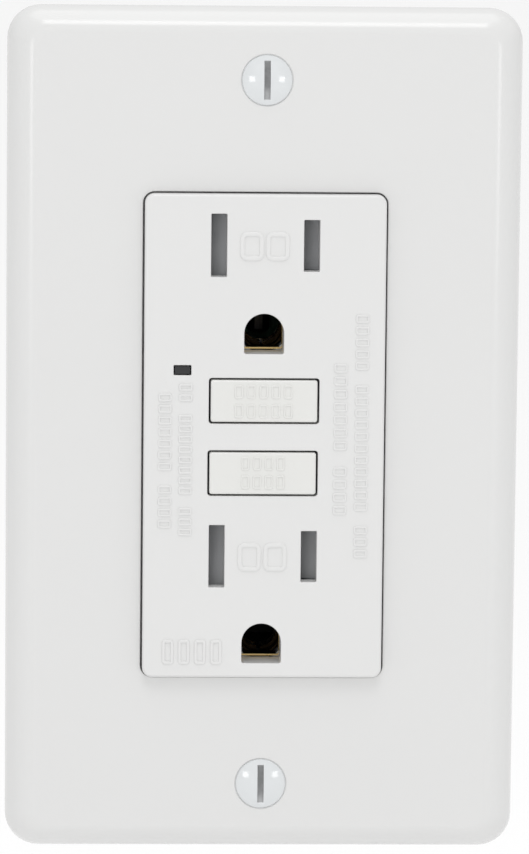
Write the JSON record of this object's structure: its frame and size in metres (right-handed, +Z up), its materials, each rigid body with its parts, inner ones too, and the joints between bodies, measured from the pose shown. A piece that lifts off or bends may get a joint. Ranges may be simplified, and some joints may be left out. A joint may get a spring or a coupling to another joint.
{
  "type": "ground-fault outlet with wall plate",
  "caption": "Duplex wall outlet with ground-fault protection: reset and test buttons, shuttered slots, indicator window, screwed cover plate and side wiring terminals.",
  "frame": {"origin": "middle of the wall plate, on the wall plane where the plate's rim and the strap's ears rest", "axes": "+Z up, +X to the right as seen from the room, +Y into the wall"},
  "size_m": [0.0702, 0.0345, 0.116],
  "materials": {
    "plate_plastic": "smooth white moulded plastic, satin gloss",
    "face_plastic": "smooth white moulded plastic, satin gloss",
    "button_plastic": "smooth white moulded plastic, slightly warmer",
    "shutter_plastic": "grey moulded plastic",
    "housing_plastic": "dark grey moulded plastic, fine texture",
    "frame_plastic": "grey moulded plastic",
    "inner_plastic": "black moulded plastic",
    "light_plastic": "smoked clear plastic",
    "white_paint": "gloss white painted steel",
    "steel": "zinc plated steel",
    "spring_steel": "spring wire",
    "brass": "stamped brass",
    "silver_plate": "tin plated brass",
    "green_plate": "green coated steel",
    "copper": "copper strip and wire",
    "board": "green glass-fibre board",
    "varistor_coat": "orange epoxy coat"
  },
  "bodies": {
    "fixed": {"box_screw_bottom": "steel", "box_screw_top": "steel", "circuit_board": "board", "controller_chip": "inner_plastic", "differential_coil": "copper", "front_cover": "face_plastic", "ground_contact_bottom": "brass", "ground_contact_top": "brass", "hot_contact": "brass", "hot_line_bar": "copper", "hot_line_terminal": "brass", "hot_load_terminal": "brass", "housing_screw_1": "steel", "housing_screw_2": "steel", "housing_screw_3": "steel", "housing_screw_4": "steel", "light_pipe": "light_plastic", "mid_frame": "frame_plastic", "mounting_strap": "steel", "neutral_contact": "brass", "neutral_fault_coil": "copper", "neutral_line_bar": "copper", "neutral_line_terminal": "silver_plate", "neutral_load_terminal": "silver_plate", "plate_screw_bottom": "white_paint", "plate_screw_top": "white_paint", "plunger_spring": "spring_steel", "rear_housing": "housing_plastic", "reset_spring": "spring_steel", "sensor_housing": "inner_plastic", "shutter_guide_bottom": "frame_plastic", "shutter_guide_top": "frame_plastic", "shutter_spring_bottom": "spring_steel", "shutter_spring_top": "spring_steel", "solenoid_bobbin": "inner_plastic", "solenoid_winding": "copper", "status_led": "light_plastic", "varistor": "varistor_coat", "wall_plate": "plate_plastic"},
    "reset": {"reset_button": "button_plastic", "reset_pin": "steel"},
    "test": {"test_button": "button_plastic"},
    "shutter_top": {"shutter_top": "shutter_plastic"},
    "shutter_bottom": {"shutter_bottom": "shutter_plastic"},
    "carriage": {"carriage": "inner_plastic"},
    "latch": {"latch_plate": "steel"},
    "arm_hot": {"contact_arm_hot": "copper"},
    "arm_neutral": {"contact_arm_neutral": "copper"},
    "leaf": {"test_leaf": "spring_steel"},
    "plunger": {"plunger": "steel"},
    "hot_load_clamp": {"hot_load_clamp": "brass"},
    "hot_load_screw": {"hot_load_screw": "brass"},
    "hot_line_clamp": {"hot_line_clamp": "brass"},
    "hot_line_screw": {"hot_line_screw": "brass"},
    "neutral_load_clamp": {"neutral_load_clamp": "silver_plate"},
    "neutral_load_screw": {"neutral_load_screw": "silver_plate"},
    "neutral_line_clamp": {"neutral_line_clamp": "silver_plate"},
    "neutral_line_screw": {"neutral_line_screw": "silver_plate"},
    "ground_clamp": {"ground_clamp": "steel"},
    "ground_screw": {"ground_screw": "green_plate"}
  },
  "joints": [
    {"name": "reset_press", "type": "slide", "parent": "fixed", "child": "reset", "axis": [0, 1, 0], "range_m": [0, 0.0025], "stiffness_N_per_m": 400, "springref_m": -0.002, "deforming": ["reset_spring"]},
    {"name": "carriage_travel", "type": "slide", "parent": "fixed", "child": "carriage", "axis": [0, 1, 0], "range_m": [0, 0.0025]},
    {"name": "arm_hot_swing", "type": "hinge", "parent": "fixed", "child": "arm_hot", "pos_m": [0.0084, 0.0116, -0.0109], "axis": [-1, 0, 0], "range_deg": [0, 8.6]},
    {"name": "arm_neutral_swing", "type": "hinge", "parent": "fixed", "child": "arm_neutral", "pos_m": [-0.0084, 0.0116, -0.0109], "axis": [-1, 0, 0], "range_deg": [0, 8.6]},
    {"name": "test_press", "type": "slide", "parent": "fixed", "child": "test", "axis": [0, 1, 0], "range_m": [0, 0.0012], "stiffness_N_per_m": 500, "springref_m": -0.002},
    {"name": "leaf_bend", "type": "hinge", "parent": "fixed", "child": "leaf", "pos_m": [0, 0.00975, -0.0096], "axis": [-1, 0, 0], "range_deg": [0, 17.8]},
    {"name": "shutter_top_slide", "type": "slide", "parent": "fixed", "child": "shutter_top", "axis": [1, 0, 0], "range_m": [0, 0.0034], "stiffness_N_per_m": 100, "springref_m": -0.002, "deforming": ["shutter_spring_top"]},
    {"name": "shutter_bottom_slide", "type": "slide", "parent": "fixed", "child": "shutter_bottom", "axis": [1, 0, 0], "range_m": [0, 0.0034], "stiffness_N_per_m": 100, "springref_m": -0.002, "deforming": ["shutter_spring_bottom"]},
    {"name": "plunger_slide", "type": "slide", "parent": "fixed", "child": "plunger", "axis": [0, 0, -1], "range_m": [0, 0.0024], "stiffness_N_per_m": 150, "springref_m": -0.002, "deforming": ["plunger_spring"]},
    {"name": "latch_slide", "type": "slide", "parent": "carriage", "child": "latch", "axis": [0, 0, -1], "range_m": [0, 0.0018]},
    {"name": "hot_load_clamp_slide", "type": "slide", "parent": "fixed", "child": "hot_load_clamp", "axis": [1, 0, 0], "range_m": [0, 0.0024]},
    {"name": "hot_load_screw_turn", "type": "hinge", "parent": "hot_load_clamp", "child": "hot_load_screw", "pos_m": [0.0195, 0.01475, 0.021], "axis": [1, 0, 0], "range_deg": [0, 1089]},
    {"name": "hot_line_clamp_slide", "type": "slide", "parent": "fixed", "child": "hot_line_clamp", "axis": [1, 0, 0], "range_m": [0, 0.0024]},
    {"name": "hot_line_screw_turn", "type": "hinge", "parent": "hot_line_clamp", "child": "hot_line_screw", "pos_m": [0.0195, 0.01475, -0.021], "axis": [1, 0, 0], "range_deg": [0, 1089]},
    {"name": "neutral_load_clamp_slide", "type": "slide", "parent": "fixed", "child": "neutral_load_clamp", "axis": [-1, 0, 0], "range_m": [0, 0.0024]},
    {"name": "neutral_load_screw_turn", "type": "hinge", "parent": "neutral_load_clamp", "child": "neutral_load_screw", "pos_m": [-0.0195, 0.01475, 0.021], "axis": [-1, 0, 0], "range_deg": [0, 1089]},
    {"name": "neutral_line_clamp_slide", "type": "slide", "parent": "fixed", "child": "neutral_line_clamp", "axis": [-1, 0, 0], "range_m": [0, 0.0024]},
    {"name": "neutral_line_screw_turn", "type": "hinge", "parent": "neutral_line_clamp", "child": "neutral_line_screw", "pos_m": [-0.0195, 0.01475, -0.021], "axis": [-1, 0, 0], "range_deg": [0, 1089]},
    {"name": "ground_clamp_slide", "type": "slide", "parent": "fixed", "child": "ground_clamp", "axis": [-1, 0, 0], "range_m": [0, 0.0024]},
    {"name": "ground_screw_turn", "type": "hinge", "parent": "ground_clamp", "child": "ground_screw", "pos_m": [-0.0171, 0.0058, -0.0414], "axis": [-1, 0, 0], "range_deg": [0, 1089]}
  ],
  "couplings": [
    {"joint": "carriage_travel", "follows": "reset_press", "ratio": 1},
    {"joint": "arm_hot_swing", "follows": "reset_press", "rad_per_m": 60},
    {"joint": "arm_neutral_swing", "follows": "reset_press", "rad_per_m": 60},
    {"joint": "leaf_bend", "follows": "test_press", "rad_per_m": 258},
    {"joint": "latch_slide", "follows": "plunger_slide", "ratio": 0.75},
    {"joint": "hot_load_screw_turn", "follows": "hot_load_clamp_slide", "rad_per_m": 7915.8},
    {"joint": "hot_line_screw_turn", "follows": "hot_line_clamp_slide", "rad_per_m": 7915.8},
    {"joint": "neutral_load_screw_turn", "follows": "neutral_load_clamp_slide", "rad_per_m": 7915.8},
    {"joint": "neutral_line_screw_turn", "follows": "neutral_line_clamp_slide", "rad_per_m": 7915.8},
    {"joint": "ground_screw_turn", "follows": "ground_clamp_slide", "rad_per_m": 7915.8}
  ]
}
